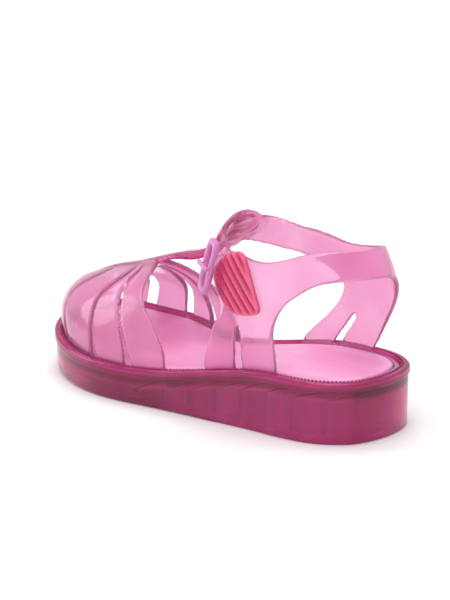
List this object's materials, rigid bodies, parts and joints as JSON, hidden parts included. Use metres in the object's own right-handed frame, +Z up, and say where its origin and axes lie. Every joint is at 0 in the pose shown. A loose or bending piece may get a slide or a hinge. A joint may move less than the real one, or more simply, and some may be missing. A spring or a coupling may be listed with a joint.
{
  "type": "jelly sandal",
  "caption": "Child's moulded jelly sandal with a platform sole, caged forefoot, T-strap and buckled ankle strap.",
  "frame": {"origin": "bottom centre of the whole sandal's bounding box, on the ground", "axes": "+X towards the outer side of the foot, -Y towards the toe, +Y towards the heel, +Z up"},
  "size_m": [0.081, 0.18, 0.0817],
  "materials": {
    "platform_jelly": "glossy translucent magenta jelly PVC",
    "outsole_jelly": "translucent magenta jelly PVC",
    "insole_satin": "satin pink",
    "upper_jelly": "glossy translucent pink jelly PVC",
    "tail_coral": "ribbed translucent coral PVC",
    "buckle_orchid": "glossy orchid plastic"
  },
  "bodies": {
    "root": {"platform": "platform_jelly", "outsole": "outsole_jelly", "insole": "insole_satin", "upper": "upper_jelly", "strap_tail": "tail_coral", "buckle_frame": "buckle_orchid", "buckle_prong": "buckle_orchid"}
  },
  "joints": []
}
